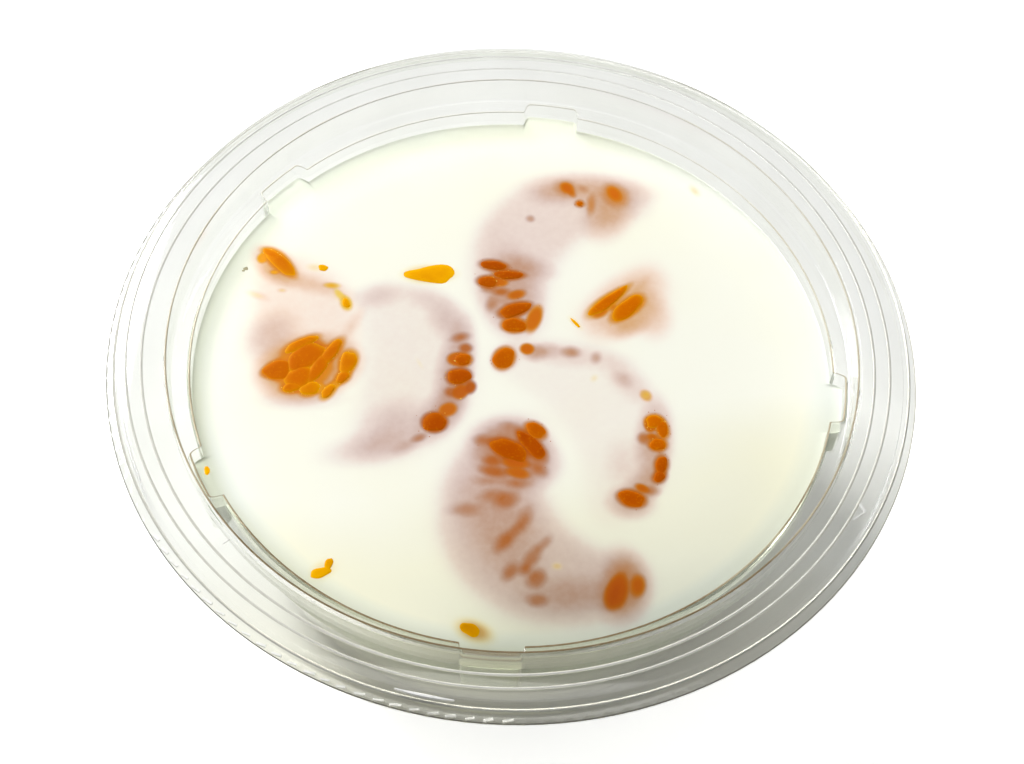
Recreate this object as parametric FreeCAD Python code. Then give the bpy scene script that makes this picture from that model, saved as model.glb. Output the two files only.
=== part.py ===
import FreeCAD, Part
import math
import os

# A clear plastic dessert cup, filled with white milk jelly that holds mandarin segments.
# Units are millimetres. The origin is the middle of the base, +Z is up and +Y is the back.

V = FreeCAD.Vector
UP = V(0, 0, 1)

# ---- Cup: overall sizes ----
cup_height = 44.0            # base to the top of the flange
neck_radius = 47.3           # inside of the upright band that the jelly's surface meets

# ---- Cup: widths, outwards from the neck ----
ledge_width = 2.6            # neck to the collar above it
flange_width = 7.5           # collar to the flange's outer corner
lip_width = 1.6              # flange's outer corner to the tips of the lip's teeth
side_taper = 7.3             # the base is this much smaller in radius than the neck

# ---- Cup: heights, measured down from the flange's top ----
skirt_drop = 2.6             # top of the lip
ledge_drop = 4.7             # the ledge that a stacked cup rests on
flute_drop = 13.0            # flat foot of the stacking flutes

# ---- Cup: walls and roundings ----
wall = 0.5
flange_thickness = 0.7
lip_thickness = 0.5
skirt_flare = 0.4            # the skirt's foot stands out this far past the flange
collar_flare = 0.2           # the collar is this much wider at the flange's top
mouth_round = 0.35
ledge_round = 0.45
flange_round = 0.6
band_round = 1.5
base_round = 5.0

# ---- Cup: teeth round the lip ----
tooth_count = 150
tooth_depth = 0.22

# ---- Cup: stacking flutes in the band below the ledge ----
flute_angles = [84.8, 141.3, 208.9, 269.0, 353.5]     # degrees from +X, unevenly spaced
flute_mouth_width = 8.6
flute_back_width = 6.4
flute_depth = 1.8
flute_round = 0.7

# ---- Jelly ----
jelly_drop = 8.1             # surface, below the flange's top

# ---- Mandarin segments: sizes shared by all ----
wedge_angle = 20.0           # between a segment's two flat sides
inner_thickness = 4.0        # across the thin inner edge
segment_round = 1.7
segment_proud = 0.12         # the highest part stands this far out of the jelly

# ---- Mandarin segments: each one's outline and how it lies ----
# centre: of its outer arc; heading: from there to the middle of its back, degrees;
# back_radius: outer arc; tip_angle: from the heading to a tip; tip_radius: rounding of a tip;
# width: inner edge to back; high: point where it comes out of the jelly;
# dip_heading, dip: direction and angle in which its top sinks from there.
# They are laid out for a neck of layout_radius, and their plan grows and shrinks with the neck.
layout_radius = 47.3
segments = [
    dict(name="mandarin_segment_1", centre=(11.0, 19.5), heading=146, back_radius=18.2, tip_angle=80,
         tip_radius=3.6, width=13.5, high=(-1.0, 12.0), dip_heading=69, dip=2.0),
    dict(name="mandarin_segment_2", centre=(14.6, 14.9), heading=315, back_radius=9.5, tip_angle=62,
         tip_radius=3.2, width=9.5, high=(13.5, 13.0), dip_heading=320, dip=3.5),
    dict(name="mandarin_segment_3", centre=(-37.5, 4.5), heading=10, back_radius=14.0, tip_angle=72,
         tip_radius=4.5, width=15.2, high=(-31.0, -2.0), dip_heading=110, dip=2.2),
    dict(name="mandarin_segment_4", centre=(-21.3, -2.7), heading=0, back_radius=16.0, tip_angle=80,
         tip_radius=3.8, width=16.5, high=(-7.5, -3.0), dip_heading=180, dip=3.0),
    dict(name="mandarin_segment_5", centre=(6.6, -12.4), heading=31, back_radius=17.0, tip_angle=83,
         tip_radius=3.0, width=14.5, high=(21.5, -14.0), dip_heading=155, dip=2.2),
    dict(name="mandarin_segment_6", centre=(8.0, -25.0), heading=213, back_radius=17.3, tip_angle=92,
         tip_radius=4.0, width=15.5, high=(1.0, -15.0), dip_heading=280, dip=1.8),
]

# ---- Radii and heights that follow from the sizes above ----
mouth_radius = neck_radius + ledge_width
flange_radius = mouth_radius + flange_width
skirt_radius = flange_radius + skirt_flare
lip_radius = flange_radius + lip_width
base_radius = neck_radius - side_taper
flute_radius = neck_radius + flute_depth
lip_z = cup_height - skirt_drop
ledge_z = cup_height - ledge_drop
flute_foot_z = cup_height - flute_drop
band_z = flute_foot_z - wall
jelly_z = cup_height - jelly_drop
layout_scale = neck_radius / layout_radius


def polar(radius, degrees):
    """A point in the XY plane, from its radius and angle."""
    return V(radius * math.cos(math.radians(degrees)), radius * math.sin(math.radians(degrees)), 0)


def rounded_wire(corners):
    """A closed wire of lines and arcs through (point, rounding radius) corners in one plane."""
    starts = []
    ends = []
    arcs = []
    count = len(corners)
    for i in range(count):
        point, radius = corners[i]
        back = (corners[i - 1][0] - point).normalize()
        ahead = (corners[(i + 1) % count][0] - point).normalize()
        half = back.getAngle(ahead) / 2
        reach = radius / math.tan(half) if radius else 0
        starts.append(point + back * reach)
        ends.append(point + ahead * reach)
        if radius:
            middle = point + (back + ahead).normalize() * (radius / math.sin(half) - radius)
            arcs.append(Part.Arc(starts[i], middle, ends[i]).toShape())
        else:
            arcs.append(None)
    edges = []
    for i in range(count):
        if arcs[i]:
            edges.append(arcs[i])
        following = starts[(i + 1) % count]
        if (following - ends[i]).Length > 1e-6:
            edges.append(Part.LineSegment(ends[i], following).toShape())
    return Part.Wire(edges)


def turned(section):
    """A solid of revolution from (radius, height, rounding) corners."""
    wire = rounded_wire([(V(radius, 0, height), rounding) for radius, height, rounding in section])
    return Part.Face(wire).revolve(V(0, 0, 0), UP, 360)


def at_angle(shape, degrees):
    """The shape, turned about the cup's axis."""
    copy = shape.copy()
    copy.rotate(V(0, 0, 0), UP, degrees)
    return copy


# ---- Cup ----

def flute_outline(grow):
    """The flute's plan at +X, from inside the cup to its back, made larger all round by grow."""
    slope = (flute_mouth_width - flute_back_width) / 2 / flute_depth
    back = flute_radius + grow
    inside = neck_radius - flute_depth
    half_back = flute_back_width / 2 + grow * (math.hypot(1, slope) - slope)
    half_inside = half_back + slope * (back - inside)
    corners = [
        (V(inside, -half_inside, 0), 0),
        (V(back, -half_back, 0), flute_round + grow),
        (V(back, half_back, 0), flute_round + grow),
        (V(inside, half_inside, 0), 0),
    ]
    return Part.Face(rounded_wire(corners))


def flute_pocket(top):
    """The hollow of one flute, up to a height."""
    pocket = flute_outline(0).extrude(V(0, 0, top - flute_foot_z))
    pocket.translate(V(0, 0, flute_foot_z))
    return pocket


def flute_skin():
    """The wall round one flute, which ends half way into the band's wall and the ledge."""
    foot = flute_foot_z - wall
    block = flute_outline(wall).extrude(V(0, 0, ledge_z - wall / 2 - foot))
    block.translate(V(0, 0, foot))
    core = Part.makeCylinder(neck_radius + wall / 2, cup_height)
    return block.cut(core)


def cup_shell():
    """The turned shell: base, side, band, ledge, collar, flange and skirt."""
    under_flange = cup_height - flange_thickness
    skirt_end = lip_z - lip_thickness / 2
    section = [
        (0, wall, 0),
        (base_radius - wall, wall, base_round - wall),
        (neck_radius, band_z, band_round),
        (neck_radius, ledge_z, ledge_round),
        (mouth_radius, ledge_z, ledge_round),
        (mouth_radius + collar_flare, cup_height, mouth_round),
        (flange_radius, cup_height, flange_round),
        (skirt_radius, skirt_end, 0),
        (skirt_radius - flange_thickness, skirt_end, 0),
        (flange_radius - flange_thickness, under_flange, 0),
        (mouth_radius + collar_flare + wall, under_flange, 0),
        (mouth_radius + wall, ledge_z - wall, 0),
        (neck_radius + wall, ledge_z - wall, 0),
        (neck_radius + wall, band_z, band_round),
        (base_radius, 0, base_round),
        (0, 0, 0),
    ]
    return turned(section)


def toothed_lip():
    """The flat lip at the skirt's foot, with shallow scallops cut round its edge."""
    pitch = 360 / tooth_count
    edges = []
    for i in range(tooth_count):
        angle = i * pitch
        tip = polar(lip_radius, angle)
        valley = polar(lip_radius - tooth_depth, angle + pitch / 2)
        following = polar(lip_radius, angle + pitch)
        edges.append(Part.Arc(tip, valley, following).toShape())
    disc = Part.Face(Part.Wire(edges)).extrude(V(0, 0, lip_thickness))
    hole = Part.makeCylinder(skirt_radius - flange_thickness / 2, lip_thickness)
    lip = disc.cut(hole)
    lip.translate(V(0, 0, lip_z - lip_thickness))
    return lip


def make_cup():
    cup = cup_shell().fuse([at_angle(flute_skin(), angle) for angle in flute_angles] + [toothed_lip()])
    pocket = flute_pocket(ledge_z + wall)
    return cup.cut([at_angle(pocket, angle) for angle in flute_angles])


# ---- Mandarin segments ----

def segment_outline(part):
    """A bean shape in plan: a round back, two tips and a hollow inner edge, all tangent."""
    tip = part["tip_radius"] * layout_scale
    back = part["back_radius"] * layout_scale
    inner_x = back - part["width"] * layout_scale
    cosine = math.cos(math.radians(part["tip_angle"]))
    sine = math.sin(math.radians(part["tip_angle"]))
    tip_x = (back - tip) * cosine
    tip_y = (back - tip) * sine
    # The inner edge is an arc about a point on the X axis, and touches both tips.
    reach = inner_x + tip
    hollow_x = (reach ** 2 - tip_x ** 2 - tip_y ** 2) / (2 * (reach - tip_x))
    edges = [Part.Arc(V(back * cosine, -back * sine, 0), V(back, 0, 0), V(back * cosine, back * sine, 0))]
    ends = []
    for side in (1, -1):
        middle = V(tip_x, side * tip_y, 0)
        outer = V(back * cosine, side * back * sine, 0)
        beyond = middle + V(-sine, side * cosine, 0) * tip
        inner = middle + (V(hollow_x, 0, 0) - middle).normalize() * tip
        edges.append(Part.Arc(outer, beyond, inner))
        ends.append(inner)
    edges.append(Part.Arc(ends[0], V(inner_x, 0, 0), ends[1]))
    return Part.Wire(Part.__sortEdges__([edge.toShape() for edge in edges]))


def make_segment(part):
    """A wedge turned from its flat upper side about the fruit's core, with rounded edges."""
    outline = segment_outline(part)
    core_gap = inner_thickness / 2 / math.sin(math.radians(wedge_angle / 2))
    core_x = outline.BoundBox.XMin - core_gap
    solid = Part.Face(outline).revolve(V(core_x, 0, 0), V(0, 1, 0), wedge_angle)
    flat_sides = [face for face in solid.Faces if isinstance(face.Surface, Part.Plane)]
    rims = [edge for face in flat_sides for edge in face.Edges]
    solid = solid.makeFillet(min(segment_round, 0.45 * inner_thickness), rims)

    high_z = jelly_z + segment_proud
    centre = V(*part["centre"], 0) * layout_scale
    high = V(*part["high"], 0) * layout_scale
    solid.rotate(V(0, 0, 0), UP, part["heading"])
    solid.translate(centre + V(0, 0, high_z))
    solid.rotate(high + V(0, 0, high_z), polar(1, part["dip_heading"] + 90), part["dip"])
    return solid


# ---- Jelly ----

def make_jelly(segment_solids):
    """Fills the cup and its flutes up to the surface, all round the segments."""
    section = [
        (0, wall, 0),
        (base_radius - wall, wall, base_round - wall),
        (neck_radius, band_z, band_round),
        (neck_radius, jelly_z, 0),
        (0, jelly_z, 0),
    ]
    pocket = flute_pocket(jelly_z)
    jelly = turned(section).fuse([at_angle(pocket, angle) for angle in flute_angles])
    return jelly.removeSplitter().cut(segment_solids)


def export(name, shape):
    """Writes one solid and prints what it measures."""
    box = shape.BoundBox
    print(f"{name}: {len(shape.Solids)} solid, valid {shape.isValid()}, {shape.Volume / 1000:.2f} cm3,",
          f"{box.XLength:.1f} x {box.YLength:.1f} x {box.ZLength:.1f} mm, {len(shape.Faces)} faces")
    shape.Solids[0].exportStep(f"parts/{name}.step")


os.makedirs("parts", exist_ok=True)
segment_solids = [make_segment(part) for part in segments]
export("cup", make_cup())
export("milk_jelly", make_jelly(segment_solids))
for part, solid in zip(segments, segment_solids):
    export(part["name"], solid)
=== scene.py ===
import math
import random
from collections import namedtuple

import bpy
import numpy as np
from mathutils import Matrix, Vector
from mathutils.bvhtree import BVHTree
from mathutils.geometry import delaunay_2d_cdt


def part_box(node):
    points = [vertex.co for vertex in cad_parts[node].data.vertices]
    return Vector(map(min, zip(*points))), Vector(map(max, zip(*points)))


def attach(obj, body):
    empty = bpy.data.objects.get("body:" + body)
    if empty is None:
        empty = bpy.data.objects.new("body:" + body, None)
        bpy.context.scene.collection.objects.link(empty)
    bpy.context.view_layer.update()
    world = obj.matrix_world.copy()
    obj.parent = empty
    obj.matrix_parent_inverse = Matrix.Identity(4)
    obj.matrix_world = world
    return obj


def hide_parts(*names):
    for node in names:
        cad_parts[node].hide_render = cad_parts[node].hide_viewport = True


# A clear dessert cup of milk jelly with mandarin segments just under its surface.
# Numbers are millimetres, and every mesh is scaled to metres when it is made.

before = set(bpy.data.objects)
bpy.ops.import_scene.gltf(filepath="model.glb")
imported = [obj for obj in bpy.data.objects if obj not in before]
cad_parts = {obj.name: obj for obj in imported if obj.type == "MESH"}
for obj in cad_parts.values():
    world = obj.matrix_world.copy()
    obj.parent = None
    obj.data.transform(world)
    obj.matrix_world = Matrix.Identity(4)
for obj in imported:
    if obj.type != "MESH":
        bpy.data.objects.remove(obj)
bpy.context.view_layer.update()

MM = 0.001

# ---- Sizes from the frame ----
cup_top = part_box("cup")[1] / MM
cup_height = cup_top.z
lip_radius = cup_top.x
jelly_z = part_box("milk_jelly")[1].z / MM

# ---- Cup: the driving sizes, as in the part's source ----
lip_width = 1.6
flange_width = 7.5
ledge_width = 2.6
side_taper = 7.3
skirt_drop = 2.6             # this and the next two are measured down from the flange's top
ledge_drop = 4.7
flute_drop = 13.0
wall = 0.5
flange_thickness = 0.7
lip_thickness = 0.5
skirt_flare = 0.4            # the skirt's foot stands out this far past the flange
collar_flare = 0.2           # the collar is this much wider at the flange's top
band_round = 1.5
ledge_round = 0.45
flange_round = 0.6
base_round = 4.5             # on the inside; the outside's is larger by the wall
edge_rounds = (0.2, 0.22)    # of the neck's and the mouth's brown edges
tooth_count = 150
tooth_depth = 0.03           # how far the scallops between teeth cut into the lip's edge
knurl_depth = 0.14           # and how far they sink the edge of its top
flute_angles = [84.8, 141.3, 208.9, 269.0, 353.5]
flute_depth = 1.8
flute_half_mouth = 4.35
flute_half_back = 3.3
flute_draft = 0.1            # the flute's foot slopes by this much, up and down
floor_middle = 20.0          # the cup's floor is flat inside this radius

# ---- Cup: what follows from them ----
flange_radius = lip_radius - lip_width
mouth_radius = flange_radius - flange_width
neck_radius = mouth_radius - ledge_width
base_radius = neck_radius - side_taper
lip_z = cup_height - skirt_drop
ledge_z = cup_height - ledge_drop
flute_foot_z = cup_height - flute_drop
band_z = flute_foot_z - wall

# ---- Marks on the flange ----
relief = 0.1                 # the flange's top is lowered by this, so that its marks stay inside the part
plate_z = cup_height - relief
ridge_rise = 0.045           # height of the two rings that the lid's seal left
seal_radii = [52.95, 55.2]
seal_shifts = [(-0.55, -0.4), (-0.55, 0)]     # how far off centre each of them is
seal_lines = [0.2, 0.19]     # and half its width
plate_middle = 54.0          # a row of the flange's points lies between them
shoulder_line = 0.22         # half the width of the frosted line where the flange turns down,
shoulder_place = (0.22, 1.2) # how far it lies out from the flange's corner and below its top,
shoulder_rise = 0.12         # and its height
lip_line = 0.08              # the same for the line round the lip's edge
lip_rise = 0.1
edge_line = 0.14             # and for the brown lines along the mouth's and the neck's edges
edge_rise = 0.035

# ---- Jelly ----
jelly_reach = 0.1            # the jelly goes this far into the wall, so no air shows
cap_radius = neck_radius - 2.3
meniscus_height = 0.3
meniscus_fade = 0.45
fine_step = 0.27             # spacing of the surface's points over the fruit
coarse_every = 4

# ---- Fruit ----
veil_step = 0.5              # grid on which the segments' soft outlines are worked out
sac_height = 0.09            # a bare sac stands this far out of the jelly
sac_depth = 0.7

# ---- Stage, in metres ----
floor_half = 0.9
fill = 0.095                 # the white world's light on things; it shows as plain white

sharp_edge = math.radians(40)     # steeper edges than this are shaded sharp
seeded = random.Random(11)


# ---------------- Helpers ----------------

def smooth(share):
    """0 to 1, eased at both ends."""
    share = np.clip(share, 0, 1)
    return share * share * (3 - 2 * share)


def srgb(red, green, blue):
    """A linear colour from the 0-255 values that it shows on screen."""
    shares = [value / 255 for value in (red, green, blue)]
    return [s / 12.92 if s <= 0.04045 else ((s + 0.055) / 1.055) ** 2.4 for s in shares] + [1]


def in_scene(name, data):
    """A new object that holds data, linked to the scene."""
    thing = bpy.data.objects.new(name, data)
    bpy.context.scene.collection.objects.link(thing)
    return thing


def ring_faces(rings, count):
    """Faces from each ring of count points to the next.

    They face out where the rings run anticlockwise, seen from beyond the last of them.
    """
    faces = []
    for ring in range(rings - 1):
        a, b = ring * count, (ring + 1) * count
        for i in range(count):
            j = (i + 1) % count
            faces.append((a + i, a + j, b + j, b + i))
    return faces


def closed_faces(rings, count):
    """The same, with the first and the last ring filled."""
    top = (rings - 1) * count
    ends = [tuple(reversed(range(count))), tuple(range(top, top + count))]
    return ring_faces(rings, count) + ends


def make_piece(name, vertices, faces, material, paint=None):
    """A smooth-shaded piece of the object, from vertices in millimetres, riding on the root body.

    paint gives each vertex four shares, which its material reads.
    """
    mesh = bpy.data.meshes.new(name)
    mesh.from_pydata([tuple(v) for v in np.asarray(vertices) * MM], [], faces)
    mesh.validate()
    mesh.shade_smooth()
    mesh.set_sharp_from_angle(angle=sharp_edge)
    if paint is not None:
        layer = mesh.color_attributes.new("paint", "FLOAT_COLOR", "POINT")
        layer.data.foreach_set("color", np.asarray(paint, np.float32).ravel())
    mesh.materials.append(material)
    piece = in_scene(name, mesh)
    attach(piece, "root")
    return piece


def add(tree, kind, values=(), **settings):
    """A shader node. values are its inputs' numbers, by name or place, and settings are its options."""
    node = tree.nodes.new("ShaderNode" + kind)
    for key, value in settings.items():
        setattr(node, key, value)
    for key, value in dict(values).items():
        node.inputs[key].default_value = value
    return node


def math_node(tree, operation, first, second, clamp=False):
    """A Math node. Each of first and second is a number or another node's output."""
    node = add(tree, "Math", operation=operation, use_clamp=clamp)
    for place, value in enumerate((first, second)):
        if isinstance(value, (int, float)):
            node.inputs[place].default_value = value
        else:
            tree.links.new(value, node.inputs[place])
    return node.outputs[0]


def mix_colour(tree, share, first, second, blend="MIX"):
    """A colour mix, from first to second as share goes from 0 to 1. Each is a colour or a node's output."""
    node = add(tree, "Mix", data_type="RGBA", blend_type=blend)
    for place, value in ((0, share), (6, first), (7, second)):
        if isinstance(value, (int, float, list)):
            node.inputs[place].default_value = value
        else:
            tree.links.new(value, node.inputs[place])
    return node.outputs[2]


def multiplied(tree, first, second, share=1.0):
    """first, tinted by second as far as share says."""
    return mix_colour(tree, share, first, second, "MULTIPLY")


def ramp(tree, share, stops):
    """A colour ramp from stops, each a place and the 0-255 values of its colour."""
    node = add(tree, "ValToRGB")
    elements = node.color_ramp.elements
    while len(elements) < len(stops):
        elements.new(0.5)
    for element, (place, *values) in zip(elements, stops):
        element.position = place
        element.color = srgb(*values)
    tree.links.new(share, node.inputs[0])
    return node.outputs[0]


def noise(tree, scale, detail):
    """Noise in the object's own metres. scale is cells for each metre."""
    coordinates = add(tree, "TexCoord")
    node = add(tree, "TexNoise", {"Scale": scale, "Detail": detail})
    tree.links.new(coordinates.outputs["Object"], node.inputs["Vector"])
    return node.outputs[0]


def remap(tree, value, low, high, new_low, new_high):
    """value, moved from one range to another."""
    node = add(tree, "MapRange", {1: low, 2: high, 3: new_low, 4: new_high})
    tree.links.new(value, node.inputs[0])
    return node.outputs[0]


def uneven(tree, scale, detail, low=0.3, high=0.7, new_low=0, new_high=1):
    """Noise whose range from low to high is stretched to new_low to new_high."""
    return remap(tree, noise(tree, scale, detail), low, high, new_low, new_high)


def new_material(name, **values):
    """A Principled material and its node tree. values are the shader's inputs, with _ for a space."""
    material = bpy.data.materials.new(name)
    material.use_nodes = True
    for key, value in values.items():
        shader_input(material.node_tree, key.replace("_", " ")).default_value = value
    return material, material.node_tree


def shader_input(tree, name):
    return tree.nodes["Principled BSDF"].inputs[name]


def colour_it(tree, colour):
    tree.links.new(colour, shader_input(tree, "Base Color"))


def worn(tree, scale, detail, low, high):
    """Roughness that wanders between low and high."""
    roughness = uneven(tree, scale, detail, new_low=low, new_high=high)
    tree.links.new(roughness, shader_input(tree, "Roughness"))


def bump(tree, scale, detail, strength, distance):
    """Fine relief from noise. distance is in millimetres."""
    node = add(tree, "Bump", {"Strength": strength, "Distance": distance * MM})
    tree.links.new(noise(tree, scale, detail), node.inputs["Height"])
    tree.links.new(node.outputs[0], shader_input(tree, "Normal"))


# ---------------- Materials ----------------

floor_glow = (0.75, 0.07)     # the floor's own white to the camera, and through the plastic
plastic_bend = 1.03           # index of refraction: low, because the walls are too thin to bend much
# These three directions place painted shade: on the plastic, on the jelly's top, and on the jelly's edge by
# the wall.
plastic_shade_side = math.radians(297) # the direction from the cup's middle in which the plastic is darkest,
jelly_shade_side = math.radians(286) # the one in which the jelly is dullest,
wall_shade_side = math.radians(240) # and the one in which its edge by the wall is greyest


# Colour of the fruit from fully veiled by milk (0) to bare (1), for deep, orange and golden fruit.
# Fully veiled, it is the jelly's own.
jelly_white = (0.00, 255, 255, 241)
deep_stops = [
    jelly_white,
    (0.08, 247, 241, 231), (0.16, 237, 221, 213), (0.28, 220, 198, 191), (0.42, 200, 165, 150),
    (0.56, 188, 136, 106), (0.70, 184, 110, 58), (0.84, 184, 92, 12), (1.00, 180, 76, 0)]
orange_stops = [
    jelly_white,
    (0.08, 252, 243, 230), (0.16, 249, 229, 213), (0.28, 238, 205, 180), (0.42, 226, 182, 138),
    (0.56, 220, 158, 92), (0.70, 216, 138, 44), (0.84, 213, 122, 10), (1.00, 212, 108, 0)]
golden_stops = [
    jelly_white, (0.20, 250, 238, 190), (0.45, 242, 212, 96), (0.70, 246, 194, 24), (1.00, 255, 184, 0)]
haze_stops = [(0.00, 250, 232, 160), (0.40, 240, 206, 90), (0.80, 214, 160, 20), (1.00, 204, 142, 2)]


def painted(tree):
    """The shares in the mesh's paint attribute, as three outputs."""
    paint = add(tree, "Attribute", attribute_name="paint")
    parts = add(tree, "SeparateColor")
    tree.links.new(paint.outputs["Color"], parts.inputs[0])
    return parts.outputs


def fruit_colour(tree, grain):
    """The colour of veiled or bare fruit. Its paint is how bare it is, and its hue from deep to golden."""
    bare, hue = painted(tree)[:2]
    # The pulp's grain is strongest where the fruit is half veiled.
    speckle = uneven(tree, 900, 5, 0.25, 0.75, -grain, grain)
    half = math_node(tree, "MULTIPLY", bare, math_node(tree, "SUBTRACT", 1.12, bare))
    shown = math_node(tree, "ADD", bare, math_node(tree, "MULTIPLY", speckle, half), clamp=True)
    orange = math_node(tree, "MULTIPLY", hue, 2, clamp=True)
    golden = math_node(tree, "SUBTRACT", math_node(tree, "MULTIPLY", hue, 2), 1, clamp=True)
    flesh = mix_colour(tree, orange, ramp(tree, shown, deep_stops), ramp(tree, shown, orange_stops))
    return mix_colour(tree, golden, flesh, ramp(tree, shown, golden_stops))


def flat_position(tree):
    """The object's own position with its height left out."""
    coordinates = add(tree, "TexCoord")
    flat = add(tree, "VectorMath", {1: (1, 1, 0)}, operation="MULTIPLY")
    tree.links.new(coordinates.outputs["Object"], flat.inputs[0])
    return flat.outputs[0]


def flat_distance(tree, way):
    """How far each point lies from the cup's middle in the direction given."""
    along = add(tree, "VectorMath", {1: (math.cos(way), math.sin(way), 0)}, operation="DOT_PRODUCT")
    tree.links.new(flat_position(tree), along.inputs[0])
    return along.outputs["Value"]


def front_share(tree):
    """0 at the cup's far side and 1 at its front."""
    return remap(tree, flat_distance(tree, math.radians(270)), -lip_radius * MM, lip_radius * MM, 0, 1)


def wall_shade_tint(tree):
    """White over most of the jelly. By the wall it turns cool and then grey: painted shade, where light leaks
    out through the clear wall.
    """
    radius = add(tree, "VectorMath", operation="LENGTH")
    tree.links.new(flat_position(tree), radius.inputs[0])
    near_wall = remap(tree, radius.outputs["Value"], (neck_radius - 4) * MM, neck_radius * MM, 0, 1)
    # The painted shade is deepest at the front left, and barely there across from it.
    along = flat_distance(tree, wall_shade_side)
    thin = remap(tree, along, -neck_radius * MM, neck_radius * MM, 0.3, 1)
    return ramp(tree, math_node(tree, "MULTIPLY", near_wall, thin), [
        (0.0, 255, 255, 255), (0.25, 246, 249, 253),
        (0.5, 234, 238, 243), (1.0, 205, 210, 205)])


def window_side_shade(tree):
    """Painted shade: white, but a little darker on the side turned from the window."""
    wander = uneven(tree, 25, 1, new_low=-5 * MM, new_high=5 * MM)
    place = math_node(tree, "ADD", flat_distance(tree, jelly_shade_side), wander)
    share = remap(tree, place, 14 * MM, 46 * MM, 0, 1)
    return ramp(tree, share, [
        (0.0, 255, 255, 255), (0.4, 246, 245, 236), (0.7, 232, 232, 224),
        (1.0, 208, 210, 204)])


def side_face_shade(tree):
    """Painted shade: the jelly's sides, which show through the wall, are a little greyer than its top."""
    coordinates = add(tree, "TexCoord")
    parts = add(tree, "SeparateXYZ")
    tree.links.new(coordinates.outputs["Object"], parts.inputs[0])
    side = remap(tree, parts.outputs["Z"], (jelly_z - 1.5) * MM, (jelly_z - 0.2) * MM, 1, 0)
    return mix_colour(tree, side, srgb(255, 255, 255), srgb(229, 230, 225))


def jelly_material():
    material, tree = new_material("milk_jelly", Roughness=0.4, IOR=1.35, Specular_IOR_Level=0.15)
    flesh = fruit_colour(tree, 0.1)
    haze = painted(tree)[2]
    flesh = mix_colour(tree, haze, flesh, ramp(tree, haze, haze_stops))
    # Milk is never quite even: slow, faint patches of a slightly warmer cream.
    cloud = uneven(tree, 45, 2, 0.35, 0.7)
    even = mix_colour(tree, cloud, srgb(255, 255, 255), srgb(255, 254, 249))
    # Painted shade by the wall, on the side turned from the window and on the jelly's sides; the cream
    # patches are the milk's own.
    tint = wall_shade_tint(tree)
    for another in (window_side_shade(tree), even, side_face_shade(tree)):
        tint = multiplied(tree, tint, another)
    colour_it(tree, multiplied(tree, flesh, tint))
    worn(tree, 260, 3, 0.36, 0.46)
    bump(tree, 500, 3, 0.25, 0.02)
    return material


def mandarin_material():
    material, tree = new_material(
        "mandarin", Roughness=0.4, IOR=1.36, Specular_IOR_Level=0.1, Specular_Tint=[1.0, 0.45, 0.02, 1.0])
    flesh = fruit_colour(tree, 0.2)
    # Juice sacs are a little darker and redder here and there, with paler fibres.
    dark = uneven(tree, 420, 2, 0.45, 0.75, 0, 0.5)
    deeper = multiplied(tree, flesh, [0.88, 0.76, 0.8, 1], dark)
    fibre = uneven(tree, 2600, 3, 0.56, 0.76, 0, 0.3)
    paler = mix_colour(tree, fibre, deeper, srgb(232, 150, 2))
    # The third paint share darkens the loose sacs; on the one at the front this is painted shade.
    colour_it(tree, multiplied(tree, paler, [0.5, 0.5, 0.5, 1], painted(tree)[2]))
    worn(tree, 900, 2, 0.34, 0.46)
    bump(tree, 2200, 3, 0.35, 0.03)
    return material


def speck_material(name, colour):
    material, tree = new_material(
        name, Roughness=0.5, Specular_IOR_Level=0.1, Specular_Tint=colour)
    shade = uneven(tree, 1500, 2, new_low=0, new_high=0.6)
    darker = [channel * 0.7 for channel in colour[:3]] + [1]
    colour_it(tree, mix_colour(tree, shade, colour, darker))
    bump(tree, 4000, 2, 0.3, 0.02)
    return material


def let_light_through(tree, colour):
    """The lamps' light goes straight through, to what stands behind the thin plastic."""
    path = add(tree, "LightPath")
    open_way = add(tree, "BsdfTransparent", {"Color": colour})
    choice = add(tree, "MixShader")
    tree.links.new(path.outputs["Is Shadow Ray"], choice.inputs[0])
    tree.links.new(tree.nodes["Principled BSDF"].outputs[0], choice.inputs[1])
    tree.links.new(open_way.outputs[0], choice.inputs[2])
    tree.links.new(choice.outputs[0], tree.nodes["Material Output"].inputs["Surface"])


def plastic_material():
    """Clear plastic. Its edges, where its paint says so, are painted brown as shade, faint at the back and
    darkest at the front.
    """
    material, tree = new_material(
        "clear_plastic", Transmission_Weight=1.0, IOR=plastic_bend, Roughness=0.04,
        Coat_Weight=1.0, Coat_IOR=1.5, Coat_Roughness=0.05)
    edge = painted(tree)[0]
    cloud = uneven(tree, 70, 2)
    clear = mix_colour(tree, cloud, srgb(243, 244, 240), srgb(249, 250, 247))
    # Towards the front it is a little warmer, and on the side turned from the window it is painted a little
    # darker, as shade.
    warm = mix_colour(tree, remap(tree, front_share(tree), 0.8, 0.95, 0, 1), clear, srgb(246, 245, 233))
    shade_share = remap(tree, flat_distance(tree, plastic_shade_side), 0.85 * lip_radius * MM, lip_radius * MM, 0, 1)
    clear = mix_colour(tree, shade_share, warm, srgb(228, 227, 220))
    brown = ramp(tree, front_share(tree), [
        (0.1, 222, 220, 212), (0.45, 176, 164, 138), (0.85, 112, 82, 44)])
    colour_it(tree, mix_colour(tree, edge, clear, brown))
    dusty = uneven(tree, 320, 4, 0.4, 0.8, 0.02, 0.1)
    tree.links.new(dusty, shader_input(tree, "Roughness"))
    bump(tree, 160, 2, 0.04, 0.03)
    let_light_through(tree, srgb(248, 248, 246))
    return material


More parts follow.
